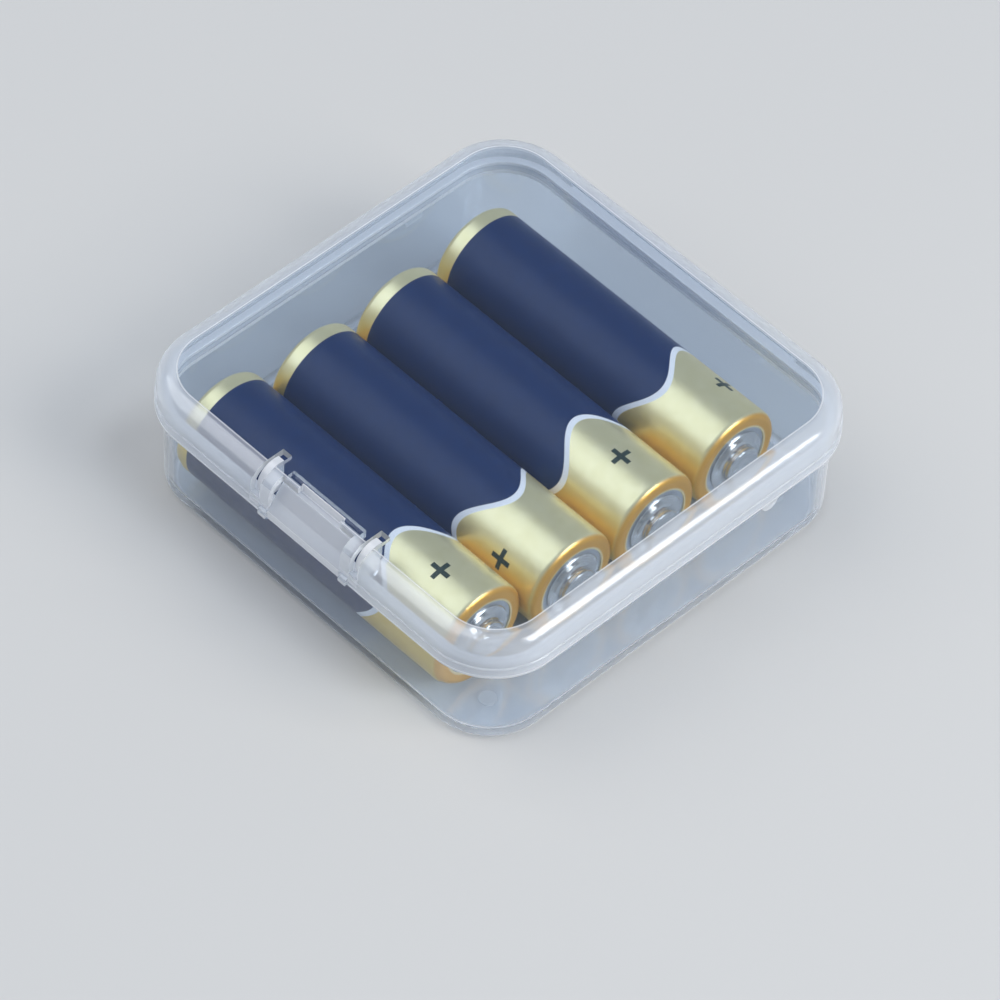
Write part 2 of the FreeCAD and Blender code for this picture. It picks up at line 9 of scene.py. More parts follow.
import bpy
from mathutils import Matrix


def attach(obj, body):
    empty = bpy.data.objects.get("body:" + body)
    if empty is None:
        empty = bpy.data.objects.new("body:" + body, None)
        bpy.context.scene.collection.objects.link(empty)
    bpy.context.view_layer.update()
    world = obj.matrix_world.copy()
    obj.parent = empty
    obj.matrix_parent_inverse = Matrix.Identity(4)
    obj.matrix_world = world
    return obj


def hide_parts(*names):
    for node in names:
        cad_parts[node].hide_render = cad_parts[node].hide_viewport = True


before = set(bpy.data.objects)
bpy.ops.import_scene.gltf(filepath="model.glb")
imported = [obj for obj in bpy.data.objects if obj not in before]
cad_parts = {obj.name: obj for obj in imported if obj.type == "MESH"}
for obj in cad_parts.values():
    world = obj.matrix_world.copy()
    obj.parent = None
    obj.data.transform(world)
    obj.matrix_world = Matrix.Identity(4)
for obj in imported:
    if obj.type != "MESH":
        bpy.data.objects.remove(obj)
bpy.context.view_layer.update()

import math

import bmesh
import bpy
import numpy as np
from mathutils import Matrix, Vector

MM = 0.001

# %% [markdown]
# ## Tools for surfaces
#
# Nearly all of this object is one of two kinds of surface. The case is a profile carried round a
# rounded square, as a router bit is carried round a template. The cells' parts are profiles turned
# on a lathe. Both give a grid of points, rows along the profile and columns round the part, so one
# function can skin them all. Adding a cylinder or a cube and pushing its vertices about would also
# do, but then every rounding would have to be made by hand.

# %% Skin a grid of points
def skin(name, points, place=None, ring=False):
    """A closed mesh over rows of points that each go once round.

    Vertex (i, j) is row i, column j, and the last column joins the first. With ring, the last row
    joins the first row; without it, each end is closed by a fan to the mean of its row. The UV map
    has the share of the way round as U and the given place of each row as V."""
    rows, columns, _ = points.shape
    i, j = np.meshgrid(np.arange(rows if ring else rows - 1), np.arange(columns), indexing="ij")
    up, right = (i + 1) % rows, (j + 1) % columns
    quads = np.stack([i * columns + j, i * columns + right,
                      up * columns + right, up * columns + j], -1).reshape(-1, 4)
    place = np.linspace(0, 1, rows) if place is None else np.asarray(place, float)
    place = np.append(place, place[-1] + (place[-1] - place[-2]))
    u = np.stack([j, j + 1, j + 1, j], -1).reshape(-1, 4) / columns
    v = place[np.stack([i, i, i + 1, i + 1], -1)].reshape(-1, 4)
    vertices = points.reshape(-1, 3)
    corners, sizes = quads.reshape(-1), np.full(len(quads), 4)
    uv = np.stack([u.reshape(-1), v.reshape(-1)], -1)
    if not ring:
        around = np.arange(columns)
        after = (around + 1) % columns
        poles = ((0, len(vertices), 1), (rows - 1, len(vertices) + 1, -1))
        for row, pole, order in poles:
            base = row * columns
            fan = np.stack([np.full(columns, pole), base + after, base + around], -1)[:, ::order]
            round_share = np.stack([around + 0.5, around + 1, around], -1)[:, ::order] / columns
            level = np.full(round_share.size, place[row])
            corners = np.concatenate([corners, fan.reshape(-1)])
            sizes = np.concatenate([sizes, np.full(columns, 3)])
            uv = np.concatenate([uv, np.stack([round_share.reshape(-1), level], -1)])
        vertices = np.concatenate([vertices, points[:1].mean(1), points[-1:].mean(1)])
    return mesh_object(name, vertices, corners, sizes, uv)


def mesh_object(name, vertices, corners, sizes, uv=None):
    """Put whole arrays, in millimetres, into a new mesh object, with its faces turned outwards.

    The signed volume is the sum over each face's fan of triangles of (a x b) . c / 6. When it
    comes out negative, every face is reversed."""
    starts = np.concatenate([[0], np.cumsum(sizes)[:-1]])
    volume = 0.0
    for count in np.unique(sizes):
        faces = corners[starts[sizes == count][:, None] + np.arange(count)]
        for k in range(1, count - 1):
            a, b, c = vertices[faces[:, 0]], vertices[faces[:, k]], vertices[faces[:, k + 1]]
            volume += float(np.einsum("ij,ij->", np.cross(a, b), c)) / 6
    if volume < 0:
        order = np.concatenate([np.arange(s + n - 1, s - 1, -1) for s, n in zip(starts, sizes)])
        corners = corners[order]
        uv = None if uv is None else uv[order]
    mesh = bpy.data.meshes.new(name)
    mesh.vertices.add(len(vertices))
    mesh.vertices.foreach_set("co", (np.asarray(vertices) * MM).astype(np.float32).reshape(-1))
    mesh.loops.add(len(corners))
    mesh.loops.foreach_set("vertex_index", corners.astype(np.int32))
    mesh.polygons.add(len(sizes))
    mesh.polygons.foreach_set("loop_start", starts.astype(np.int32))
    if uv is not None:
        layer = mesh.uv_layers.new(name="print")
        layer.uv.foreach_set("vector", uv.astype(np.float32).reshape(-1))
    mesh.update(calc_edges=True)
    mesh.validate()
    made = bpy.data.objects.new(name, mesh)
    bpy.context.scene.collection.objects.link(made)
    return made


def smooth(made, degrees):
    """Shade smoothly, but keep every edge sharp that bends by more than this angle."""
    made.data.shade_smooth()
    made.data.set_sharp_from_angle(angle=math.radians(degrees))
    return made


# %% [markdown]
# ## The shape of a moulded shell
#
# The tray and the lid share one plan: a square with round corners. Each point of the profile lies
# some distance inside the outer face, and the corner radius shrinks by the same distance, so that
# all the walls stay parallel round the corners, as a mould cutter leaves them.

# %% Carry a profile round a rounded square
ARC_STEPS = 18
SIDE_STEPS = 6
LEAST_CORNER = 1.0


def lap():
    """One lap round a rounded square, as factors of the corner centres and outward directions."""
    quarter = np.linspace(0, np.pi / 2, ARC_STEPS + 1)
    share = (np.arange(1, SIDE_STEPS) / SIDE_STEPS)[:, None]
    signs = np.array([(1, 1), (-1, 1), (-1, -1), (1, -1)], float)
    centres, directions = [], []
    for number in range(4):
        angle = quarter + number * np.pi / 2
        arc = np.stack([np.cos(angle), np.sin(angle)], 1)
        here, there = signs[number], signs[(number + 1) % 4]
        centres += [np.tile(here, (len(arc), 1)), (1 - share) * here + share * there]
        directions += [arc, np.tile(arc[-1], (SIDE_STEPS - 1, 1))]
    return np.concatenate(centres), np.concatenate(directions)


def carry_round(name, half, corner, profile):
    """A shell whose profile is given as (distance inside the outer face, height).

    A ring at distance d is (half - d - r) times the corner factor plus r times the direction,
    where r = corner - d, but at least a little, so that the rings close over the middle."""
    inside, height = np.asarray(profile, float).T
    centres, directions = lap()
    reach = half - inside
    radius = np.minimum(np.maximum(corner - inside, LEAST_CORNER), reach)[:, None, None]
    flat = (reach[:, None, None] - radius) * centres[None] + radius * directions[None]
    level = np.broadcast_to(height[:, None, None], flat.shape[:2] + (1,))
    return skin(name, np.concatenate([flat, level], -1))


def bend(centre, radius, start, end, steps):
    """Points of an arc from one angle to another, in degrees: centre + radius (cos, sin)."""
    angle = np.radians(np.linspace(start, end, steps + 1))
    return [(centre[0] + radius * np.cos(a), centre[1] + radius * np.sin(a)) for a in angle]


# %% [markdown]
# Slots, lugs and cheeks are prisms. They are joined to the shells or cut out of them with the
# exact Boolean solver, whose result is written back as a plain mesh. Clear plastic has to be one
# closed skin: if two pieces merely overlapped, light would bend at surfaces that aren't there.

# %% Prisms
def prism(name, outline, low, high, axis="X"):
    """A prism from an outline of (y, z) pairs drawn out along X, or of (x, y) pairs along Z."""
    outline = np.asarray(outline, float)
    count = len(outline)
    ends = np.array([low, high])[:, None]
    one = np.broadcast_to(outline[None, :, 0], (2, count))
    two = np.broadcast_to(outline[None, :, 1], (2, count))
    run = np.broadcast_to(ends, one.shape)
    points = np.stack([run, one, two] if axis == "X" else [one, two, run], -1)
    j = np.arange(count)
    sides = np.stack([j, (j + 1) % count, (j + 1) % count + count, j + count], -1)
    corners = np.concatenate([sides.reshape(-1), j[::-1], j + count])
    sizes = np.concatenate([np.full(count, 4), [count, count]])
    return mesh_object(name, points.reshape(-1, 3), corners, sizes)


def box(name, x_span, y_span, z_span, corner=0.0):
    """A block between two places on each axis, its upright edges rounded by a corner radius."""
    (x_low, x_high), (y_low, y_high) = sorted(x_span), sorted(y_span)
    if corner == 0:
        outline = [(x_low, y_low), (x_high, y_low), (x_high, y_high), (x_low, y_high)]
        return prism(name, outline, *z_span, "Z")
    outline = []
    for x, y, start in ((x_high - corner, y_low + corner, -90),
                        (x_high - corner, y_high - corner, 0),
                        (x_low + corner, y_high - corner, 90),
                        (x_low + corner, y_low + corner, 180)):
        outline += bend((x, y), corner, start, start + 90, 6)
    return prism(name, outline, *z_span, "Z")


def disc(across, up, radius, steps=40):
    """Outline of a circle round a centre."""
    angle = np.arange(steps) * 2 * np.pi / steps
    return np.stack([across + radius * np.cos(angle), up + radius * np.sin(angle)], -1)


# %% Join, cut and clean
MERGE, SLIVER = 0.002 * MM, 0.001 * MM


def combine(base, tools, operation):
    """Join tools to the base, or cut them out of it, and drop them."""
    for tool in tools:
        step = base.modifiers.new("step", "BOOLEAN")
        step.operation, step.solver, step.object = operation, "EXACT", tool
    evaluated = base.evaluated_get(bpy.context.evaluated_depsgraph_get())
    old, base.data = base.data, bpy.data.meshes.new_from_object(evaluated)
    base.modifiers.clear()
    bpy.data.meshes.remove(old)
    for tool in tools:
        bpy.data.objects.remove(tool)
    print(base.name, operation.lower(), "gives", len(base.data.polygons), "faces")


def clean_skin(made):
    """Merge doubles, drop loose triangles, shade, and weigh the corner normals by face size.

    The last step is a live modifier. It makes flat faces look flat up to their rounded edges."""
    work = bmesh.new()
    work.from_mesh(made.data)
    bmesh.ops.remove_doubles(work, verts=work.verts, dist=MERGE)
    bmesh.ops.dissolve_degenerate(work, edges=work.edges, dist=SLIVER)
    loose = [face for face in work.faces if all(edge.is_boundary for edge in face.edges)]
    bmesh.ops.delete(work, geom=loose, context="FACES")
    print(made.name, "has", sum(edge.is_boundary for edge in work.edges), "open edges")
    work.to_mesh(made.data)
    work.free()
    smooth(made, 35)
    weigh = made.modifiers.new("weighted_normals", "WEIGHTED_NORMAL")
    weigh.keep_sharp = True


# %% [markdown]
# ## Sizes
#
# These are the case's own sizes in millimetres, the same that the CAD part is driven by. Most
# places near the hinge are given as a distance inwards from the lid's outer face on that side.

# %% Sizes of the case
LID_HALF, LID_CORNER = 34.0, 10.0
TOP, CEILING, HEM_TOP, SKIRT_LOW = 19.9, 18.8, 15.5, 13.7
EDGE_OUT, EDGE_IN = 2.65, 1.85             # roundings of the soft top edge, outside and inside
HEM_PROUD, SKIRT_WALL, LIP = 0.15, 0.95, 0.14
TRAY_HALF, TRAY_CORNER, TRAY_WALL = 32.85, 8.85, 1.1
RIM, FLOOR, FOOT, ROOT = 15.7, 1.2, 1.3, 1.1
LEAN = math.tan(math.radians(0.6))         # the draft that lets the tray leave its mould
MIDDLE = 20.0                              # a ring of points on the flat top and floor
BEAD_REACH, RELIEF_REACH = 20.5, 20.8      # half lengths of the beads and ledge, and their relief
BEAD_DEPTH = 0.6
AXIS_IN, AXIS_Z = 0.5, 13.95
PIN, BORE, BARREL, LUG = 0.4, 0.45, 0.5, 0.85
TONGUE, LUG_END, RISER = 6.6, 8.0, 3.8     # half widths along the hinge
SLOT_START, SLOT_END, CHEEK_START, CHEEK_END = 8.25, 9.8, 8.5, 9.55
CHEEK_R, CHEEK_DEPTH = 2.75, 2.95           # radius, and depth of its centre below the lid's top
OVER = TOP + 1                             # a height above everything, for tools that cut


def from_outer(distance):
    """Place along Y of a distance inwards from the hinge side's outer face."""
    return distance - LID_HALF


# %% [markdown]
# ## The lid
#
# A shallow cap with a soft top edge, a slightly thicker hem along the skirt, and on the hinge side
# a sloping tongue between two slots. The profile runs from the middle of the top, over the edge,
# down to the hem, and back under the ceiling to the middle, so the skin is closed.

# %% The lid's shell
outer_centre, inner_centre = HEM_PROUD + EDGE_OUT, SKIRT_WALL + EDGE_IN
lip_z = SKIRT_LOW + LIP
lid_profile = [(LID_HALF - 0.5, TOP), (MIDDLE, TOP), (outer_centre + 0.3, TOP)]
lid_profile += bend((outer_centre, TOP - EDGE_OUT), EDGE_OUT, 90, 180, 12)
lid_profile += [(HEM_PROUD, HEM_TOP + 0.35), (HEM_PROUD, HEM_TOP + 0.1)]
lid_profile += [(HEM_PROUD * 0.7, HEM_TOP + 0.02)] + bend((LIP, HEM_TOP - LIP), LIP, 125, 180, 3)
lid_profile += [(0.0, lip_z + 0.2)] + bend((LIP, lip_z), LIP, 180, 270, 4)
lid_profile += bend((SKIRT_WALL - LIP, lip_z), LIP, 270, 360, 4)
lid_profile += [(SKIRT_WALL, lip_z + 0.2), (SKIRT_WALL, CEILING - EDGE_IN - 0.2)]
lid_profile += bend((inner_centre, CEILING - EDGE_IN), EDGE_IN, 180, 90, 10)
lid_profile += [(inner_centre + 0.3, CEILING), (MIDDLE, CEILING), (LID_HALF - 0.5, CEILING)]
lid = carry_round("lid_moulding", LID_HALF, LID_CORNER, lid_profile)

# %% [markdown]
# The shoulder is cut away where the tongue slopes down, and the skirt where the tray's lugs and
# snap ledge pass. Two slots let the tray's cheeks through. The tongue is one closed outline, with
# a rounded barrel along its lower edge and a stub pin at each end.

# %% Cut the lid's slots and shoulder
foot_z, ledge_z = AXIS_Z + 0.95, TOP - 1.4
slope_start, slope_end = 0.0, 2.6
wedge = [(-0.95, foot_z), (slope_start, foot_z), (slope_end, ledge_z), (slope_end, OVER),
         (-0.95, OVER)]
cuts = [
    box("relief", (-RELIEF_REACH, RELIEF_REACH), (TRAY_HALF - 0.55, TRAY_HALF + 0.7),
        (SKIRT_LOW - 0.1, SKIRT_LOW + 2.3)),
    box("lug_slot", (-SLOT_START, SLOT_START), (from_outer(-0.85), from_outer(2.25)),
        (SKIRT_LOW - 0.1, AXIS_Z + 1.35)),
    prism("wedge", [(from_outer(d), z) for d, z in wedge], -TONGUE, TONGUE),
    box("step", (-RISER, RISER), (from_outer(1.65), from_outer(3.5)), (ledge_z, OVER)),
]
cuts += [box("slot", (side * SLOT_START, side * SLOT_END), (from_outer(-0.95), from_outer(5.65)),
             (RIM + 0.25, OVER)) for side in (1, -1)]
combine(lid, cuts, "DIFFERENCE")

# %% Join the tongue, its barrel and its pins
riser_z, under_z = CEILING + 0.55, ledge_z - 0.95
tongue = [(0.06, AXIS_Z), (0.0, AXIS_Z + 0.06), (0.0, foot_z - 0.06), (0.03, foot_z + 0.03),
          (2.55, ledge_z - 0.05), (2.62, ledge_z), (3.5, ledge_z), (3.5, riser_z), (4.6, riser_z),
          (4.6, under_z), (3.075, under_z), (1.0, AXIS_Z + 0.35), (1.0, AXIS_Z)]
axis_y = from_outer(AXIS_IN)
combine(lid, [
    prism("tongue", [(from_outer(d), z) for d, z in tongue], -TONGUE, TONGUE),
    prism("barrel", disc(axis_y, AXIS_Z, BARREL), -TONGUE, TONGUE),
    prism("pins", disc(axis_y, AXIS_Z, PIN), -TONGUE - 1.3, TONGUE + 1.3),
], "UNION")
clean_skin(lid)

# %% [markdown]
# ## The tray
#
# A tub whose walls lean out by 0.6 degrees, so that it comes out of its mould. Round the outside,
# just under the skirt, run three low stop beads that the lid rests on, and along the front rim a
# snap ledge. The hinge wall has a notch for the tongue, two lugs that hold its stub pins, and two
# D-shaped cheeks that stand up through the lid's slots.

# %% The tray's shell
def wall_inset(height, depth=0.0):
    """Distance of the leaning outer face from the rim's outer edge at a height, plus a depth."""
    return (RIM - height) * LEAN + depth


root_z, rim_edge = FLOOR + ROOT, 0.15
tray_profile = [(TRAY_HALF - 0.5, 0.0), (MIDDLE, 0.0), (wall_inset(0) + FOOT + 0.3, 0.0)]
tray_profile += bend((wall_inset(FOOT) + FOOT, FOOT), FOOT, 270, 180, 10)
tray_profile += [(wall_inset(FOOT + 0.3), FOOT + 0.3), (wall_inset(RIM - 0.4), RIM - 0.4)]
tray_profile += bend((rim_edge, RIM - rim_edge), rim_edge, 180, 90, 4)
tray_profile += bend((TRAY_WALL - rim_edge, RIM - rim_edge), rim_edge, 90, 0, 4)
tray_profile += [(TRAY_WALL + 0.25 * LEAN, RIM - 0.4)]
tray_profile += [(wall_inset(root_z + 0.3, TRAY_WALL), root_z + 0.3)]
tray_profile += bend((wall_inset(root_z, TRAY_WALL) + ROOT, root_z), ROOT, 180, 270, 8)
tray_profile += [(wall_inset(FLOOR, TRAY_WALL) + ROOT + 0.3, FLOOR), (MIDDLE, FLOOR)]
tray_profile += [(TRAY_HALF - 0.5, FLOOR)]
tray = carry_round("tray_moulding", TRAY_HALF, TRAY_CORNER, tray_profile)

# %% Beads and ledge
bead_in, bead_out = TRAY_HALF - TRAY_WALL + 0.55, TRAY_HALF + 0.85
bead_z = (SKIRT_LOW - BEAD_DEPTH, SKIRT_LOW)
reach = (-BEAD_REACH, BEAD_REACH)
adds = [box("bead", (side * bead_in, side * bead_out), reach, bead_z, 0.38) for side in (1, -1)]
adds += [box("bead", reach, (bead_in, bead_out), bead_z, 0.38),
         box("ledge", reach, (bead_in, TRAY_HALF + 0.55), (RIM - 0.8, RIM), 0.3)]

# %% Lugs and cheeks, one of each on both sides of the tongue
wall_y = from_outer(1.15 + 0.55)
web = [(axis_y, AXIS_Z + LUG), (axis_y, AXIS_Z), (axis_y - 0.6, AXIS_Z - 0.6),
       (wall_y, AXIS_Z - 1.75), (wall_y, AXIS_Z + LUG)]
cheek_y, cheek_z, flat_y = from_outer(3.75), TOP - CHEEK_DEPTH, from_outer(4.6)
flat_angle = math.acos((flat_y - cheek_y) / CHEEK_R)
cheek = [(cheek_y + CHEEK_R * np.cos(a), cheek_z + CHEEK_R * np.sin(a))
         for a in np.linspace(flat_angle, 2 * np.pi - flat_angle, 60)]
leg = [(wall_y, RIM - 3.5), (flat_y, cheek_z - CHEEK_R), (flat_y, cheek_z), (wall_y, RIM)]
for side in (1, -1):
    low, high = sorted((side * (TONGUE + 0.2), side * LUG_END))
    adds += [prism("lug", disc(axis_y, AXIS_Z, LUG), low, high), prism("web", web, low, high)]
    low, high = sorted((side * CHEEK_START, side * CHEEK_END))
    adds += [prism("cheek", cheek, low, high), prism("leg", leg, low, high)]

# %% [markdown]
# Below the skirt on the positive side sits a half-round thumb tab. Four shallow round marks on the
# underside show where pins pushed the warm tray out of its mould.

# %% Thumb tab, notch, bores and pin marks
TAB_Y, TAB_R, MARK_PLACE, MARK_R = 15.5, 1.35, 25.3, 1.2
tab = disc(TAB_Y, SKIRT_LOW - 0.4, TAB_R, 32)
tab[:, 1] = np.minimum(tab[:, 1], SKIRT_LOW - 0.01)
adds.append(prism("tab", tab, TRAY_HALF - 0.4, bead_out - 0.05))
combine(tray, adds, "UNION")
cuts = [
    box("notch", (-TONGUE - 0.15, TONGUE + 0.15), (from_outer(0), from_outer(3.35)),
        (AXIS_Z + 0.35, RIM + 2)),
    prism("bores", disc(axis_y, AXIS_Z, BORE, 32), -LUG_END - 0.2, LUG_END + 0.2),
]
cuts += [prism("mark", disc(x, y, MARK_R, 32), -0.1, 0.3, "Z")
         for x in (MARK_PLACE, -MARK_PLACE) for y in (MARK_PLACE, -MARK_PLACE)]
combine(tray, cuts, "DIFFERENCE")
clean_skin(tray)

# %% [markdown]
# ## The cells
#
# An AA cell is a drawn steel can in a printed shrink sleeve. At its positive end a pressed cap with
# a nub is welded on, and the sleeve folds over the can's shoulder in a ring about 2 mm wide. At the
# other end a nylon seal and a nickelled cover close the can's crimped mouth. Every part is round,
# so every part is a lathe profile of (place along the cell, radius).

# %% Turn a part of a cell
CELL_R, CELL_L, FILM, CAN_WALL = 7.15, 48.7, 0.15, 0.3
CELL_Z = FLOOR + 0.1 + CELL_R
CELLS = {"cell_1": (-26.4, -24.1), "cell_2": (-24.8, -9.7),      # place of the negative face
         "cell_3": (-24.8, 5.0), "cell_4": (-25.5, 20.1)}        # along X, and of the axis in Y
ROUND_STEPS = 96
V_LENGTH = 110.0                           # millimetres of a profile that one unit of V stands for


def turn_part(name, profile, cell, roll, ring):
    """A part of a cell from its profile: x = face + place, y and z = radius (cos, sin) of the turn.

    V follows the profile's length, and roll turns the part, and with it its print."""
    place, radius = np.asarray(profile, float).T
    face, y = CELLS[cell]
    angle = -np.arange(ROUND_STEPS) * 2 * np.pi / ROUND_STEPS + roll
    x = np.broadcast_to((face + place)[:, None], (len(place), ROUND_STEPS))
    points = np.stack([x, y + radius[:, None] * np.cos(angle),
                       CELL_Z + radius[:, None] * np.sin(angle)], -1)
    run = np.concatenate([[0], np.cumsum(np.hypot(np.diff(place), np.diff(radius)))])
    made = skin(name, points, place=run / V_LENGTH, ring=ring)
    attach(made, cell)
    return smooth(made, 40)


# %% [markdown]
# The sleeve is a closed ring of film: along the outside, over the fold, and back inside. The can
# is drawn as a cup, from the middle of its end along the inside, round the crimped mouth and back
# along the outside. The other parts start and end near the axis, where skin closes them.

# %% Profiles of the sleeve and the can
FOLD_POSITIVE, FOLD_NEGATIVE, SHOULDER = 5.1, 6.2, 0.9
inner_end, bore = CELL_L - FILM, CELL_R - FILM - CAN_WALL
near, far = (SHOULDER, CELL_R - SHOULDER), (CELL_L - SHOULDER, CELL_R - SHOULDER)
sleeve = [(0.02, FOLD_NEGATIVE), (0.0, FOLD_NEGATIVE + 0.03)] + bend(near, SHOULDER, 180, 90, 8)
sleeve += [(8.0, CELL_R), (20.0, CELL_R), (32.0, CELL_R), (40.0, CELL_R)]
sleeve += bend(far, SHOULDER, 90, 0, 8)
sleeve += [(CELL_L, 6.0), (CELL_L - 0.02, 5.6), (CELL_L, 5.3)]
sleeve += [(CELL_L - 0.01, FOLD_POSITIVE + 0.02), (CELL_L - 0.06, FOLD_POSITIVE)]
sleeve += [(inner_end + 0.02, FOLD_POSITIVE + 0.01), (inner_end, FOLD_POSITIVE + 0.05)]
sleeve += bend(far, SHOULDER - FILM, 0, 90, 6) + bend(near, SHOULDER - FILM, 90, 180, 6)
sleeve += [(FILM, FOLD_NEGATIVE)]

inside_end = inner_end - CAN_WALL
can = [(inside_end, 0.3), (inside_end, bore - 0.5)]
can += bend((inside_end - 0.5, bore - 0.5), 0.5, 0, 90, 4)
can += [(1.0, bore), (0.5, bore - 0.25), (0.45, 6.1), (0.4, 5.95), (0.3, 5.9), (0.2, 5.9)]
can += [(FILM, 5.92), (FILM, 6.25)] + bend(near, SHOULDER - FILM, 180, 90, 6)
can += bend(far, SHOULDER - FILM, 90, 0, 6)
can += [(inner_end, 5.0), (inner_end, 4.5), (inner_end, 0.3)]

# %% Profiles of the cap, the seal and the cover
cap_top = CELL_L + 1.5
cap = [(inner_end + place, radius) for place, radius in (
    (0.0, 0.3), (0.0, 4.36), (0.08, 4.4), (0.22, 4.4), (0.3, 4.32), (0.3, 3.3), (0.34, 3.0),
    (0.5, 2.8), (0.8, 2.74))]
cap += [(cap_top - 0.5, 2.72)] + bend((cap_top - 0.36, 2.36), 0.36, 90, 0, 6)
cap += [(cap_top, 1.9), (cap_top - 0.015, 1.6), (cap_top, 1.2), (cap_top, 0.3)]
seal = [(0.52, 0.3), (0.52, 5.5), (0.2, 5.5), (0.28, 5.52), (0.28, 5.86), (0.45, 5.9),
        (0.5, 6.4), (0.9, bore - 0.05), (2.2, bore - 0.05), (2.2, 0.3)]
cover = [(-0.2, 0.3), (-0.2, 3.9), (-0.17, 4.15), (-0.05, 4.35), (0.12, 4.5), (0.16, 4.8),
         (0.16, 5.2), (0.2, 5.42), (0.28, 5.48), (0.46, 5.48), (0.5, 5.44), (0.5, 0.3)]

# %% Turn the twenty visible parts, each cell rolled as it happens to lie
ROLLS = {"cell_1": 0.52, "cell_2": 0.67, "cell_3": 0.50, "cell_4": 0.40}
PROFILES = {"sleeve": sleeve, "can": can, "cap": cap, "seal": seal, "cover": cover}
parts = {kind: [] for kind in PROFILES}
for cell, roll in ROLLS.items():
    for kind, profile in PROFILES.items():
        made = turn_part("%s_%s_turned" % (cell, kind), profile, cell, roll * 2 * np.pi,
                         ring=kind == "sleeve")
        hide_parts("%s_%s" % (cell, kind))
        parts[kind].append(made)
print("turned parts:", sum(len(made) for made in parts.values()))

# %% [markdown]
# ## Materials
#
# One function turns the colours, which are written as they look on a screen, into the linear values
# that the shaders want. One more adds a node with its settings and links. Patterns read Object
# coordinates or a piece's own UV map, so that they stay on the piece when a joint moves.

# %% Colour and node helpers
def colour(code):
    """Linear RGBA from an sRGB hex value.

    c / 12.92 up to 0.04045, and above that ((c + 0.055) / 1.055) to the power 2.4."""
    c = np.array([int(code[k:k + 2], 16) for k in (1, 3, 5)]) / 255
    return (*np.where(c <= 0.04045, c / 12.92, ((c + 0.055) / 1.055) ** 2.4).tolist(), 1.0)


def add(tree, kind, inputs=None, out=0, **settings):
    """Add a node, set its properties, fill its sockets with values or links, give one output."""
    made = tree.nodes.new("ShaderNode" + kind)
    for key, value in settings.items():
        setattr(made, key, value)
    for key, value in (inputs or {}).items():
        if isinstance(value, bpy.types.NodeSocket):
            tree.links.new(value, made.inputs[key])
        else:
            made.inputs[key].default_value = value
    return made.outputs[out]


def new_material(name):
    """An empty node material and its tree."""
    made = bpy.data.materials.new(name)
    made.use_nodes = True
    made.node_tree.nodes.clear()
    return made, made.node_tree


def show(tree, surface):
    """Let the material's output show a shader."""
    tree.links.new(surface, tree.nodes.new("ShaderNodeOutputMaterial").inputs["Surface"])


def dress(objects, material):
    """Give objects a material."""
    for made in objects:
        made.data.materials.clear()
        made.data.materials.append(material)


# %% [markdown]
# ** Clear polypropylene** is moulded against a polished steel tool. It is clear, but less so than
# glass: it scatters a little light, which shows as a cold milky veil on some faces. The same white
# veil is laid along thin edges, steps and rims as a painted highlight of the bright lines that
# refraction draws there. The shader mixes a dielectric, with polypropylene's index of 1.49 and the
# low roughness of a polished mould, with such a veil, which is dull, lets light through and has a
# weak gloss. A bump with waves of 9 mm stands for the slight unevenness of moulded walls.

# %% Clear polypropylene: the clear part, and the veil that is also a painted highlight
plastic, tree = new_material("clear_polypropylene")
where = add(tree, "TexCoord", out="Object")
flow = add(tree, "TexNoise", {"Vector": where, "Scale": 1 / (9 * MM), "Detail": 2.0,
                              "Roughness": 0.4})
bump = add(tree, "Bump", {"Height": flow, "Strength": 0.06, "Distance": 0.6 * MM})
clear = add(tree, "BsdfPrincipled", {"Base Color": colour("#E8F0F9"), "Roughness": 0.05,
                                     "IOR": 1.49, "Transmission Weight": 0.99, "Normal": bump})
# White of the milky veil, which also paints the highlights on edges, steps and rims.
milk_and_highlight_white = colour("#F8FAFD")
dull = add(tree, "BsdfDiffuse", {"Color": milk_and_highlight_white, "Normal": bump})
glow = add(tree, "BsdfTranslucent", {"Color": milk_and_highlight_white})
gloss = add(tree, "BsdfGlossy", {"Color": colour("#FFFFFF"), "Roughness": 0.12, "Normal": bump})
veil_and_highlight = add(tree, "MixShader", {0: 0.3, 1: dull, 2: glow})
veil_and_highlight = add(tree, "MixShader", {0: 0.06, 1: veil_and_highlight, 2: gloss})

# %% [markdown]
# Where the veil shows: a little at grazing angles, as a painted sheen; more along the lid's soft
# edge and skirt, where the plastic is milky; and most on thin edges, steps and rims, as a painted
# highlight of the bright lines that refraction draws there. The hinge's tongue and cheeks are
# frosted by the mould, and the white on their edges is a painted highlight. A veil on the underside
# also stops light that the floor slab would otherwise carry sideways, and that left the foot dark;
# the white band along the foot is also a painted highlight. Each place is a box of conditions,
# (middle, half width) in mm, on four coordinates: the distance outside the corner centres at 24 mm,
# which follows the round corners, |X|, Y and Z. Two more compare how far a face looks sideways or
# up.

# %% Coordinates for the veil
# The white at grazing angles is a painted sheen.
grazing = add(tree, "LayerWeight", {"Blend": 0.35}, out="Facing")
share = add(tree, "MapRange", {"Value": grazing, "From Min": 0.5, "From Max": 1.0, "To Max": 0.85})
extent = add(tree, "VectorMath", {0: where}, operation="ABSOLUTE")
beyond = add(tree, "VectorMath", {0: extent, 1: (24 * MM, 24 * MM, 1.0)}, operation="SUBTRACT")
beyond = add(tree, "VectorMath", {0: beyond, 1: (0.0, 0.0, 0.0)}, operation="MAXIMUM")
facing = add(tree, "TexCoord", out="Normal")
facing = add(tree, "VectorMath", {0: facing}, operation="ABSOLUTE")
coordinate = {
    "out": add(tree, "VectorMath", {0: beyond}, out=1, operation="LENGTH"),
    "x": add(tree, "SeparateXYZ", {0: extent}),
    "y": add(tree, "SeparateXYZ", {0: where}, out=1),
    "z": add(tree, "SeparateXYZ", {0: where}, out=2),
    "side": add(tree, "SeparateXYZ", {0: facing}),
    "flat": add(tree, "SeparateXYZ", {0: facing}, out=2),
}
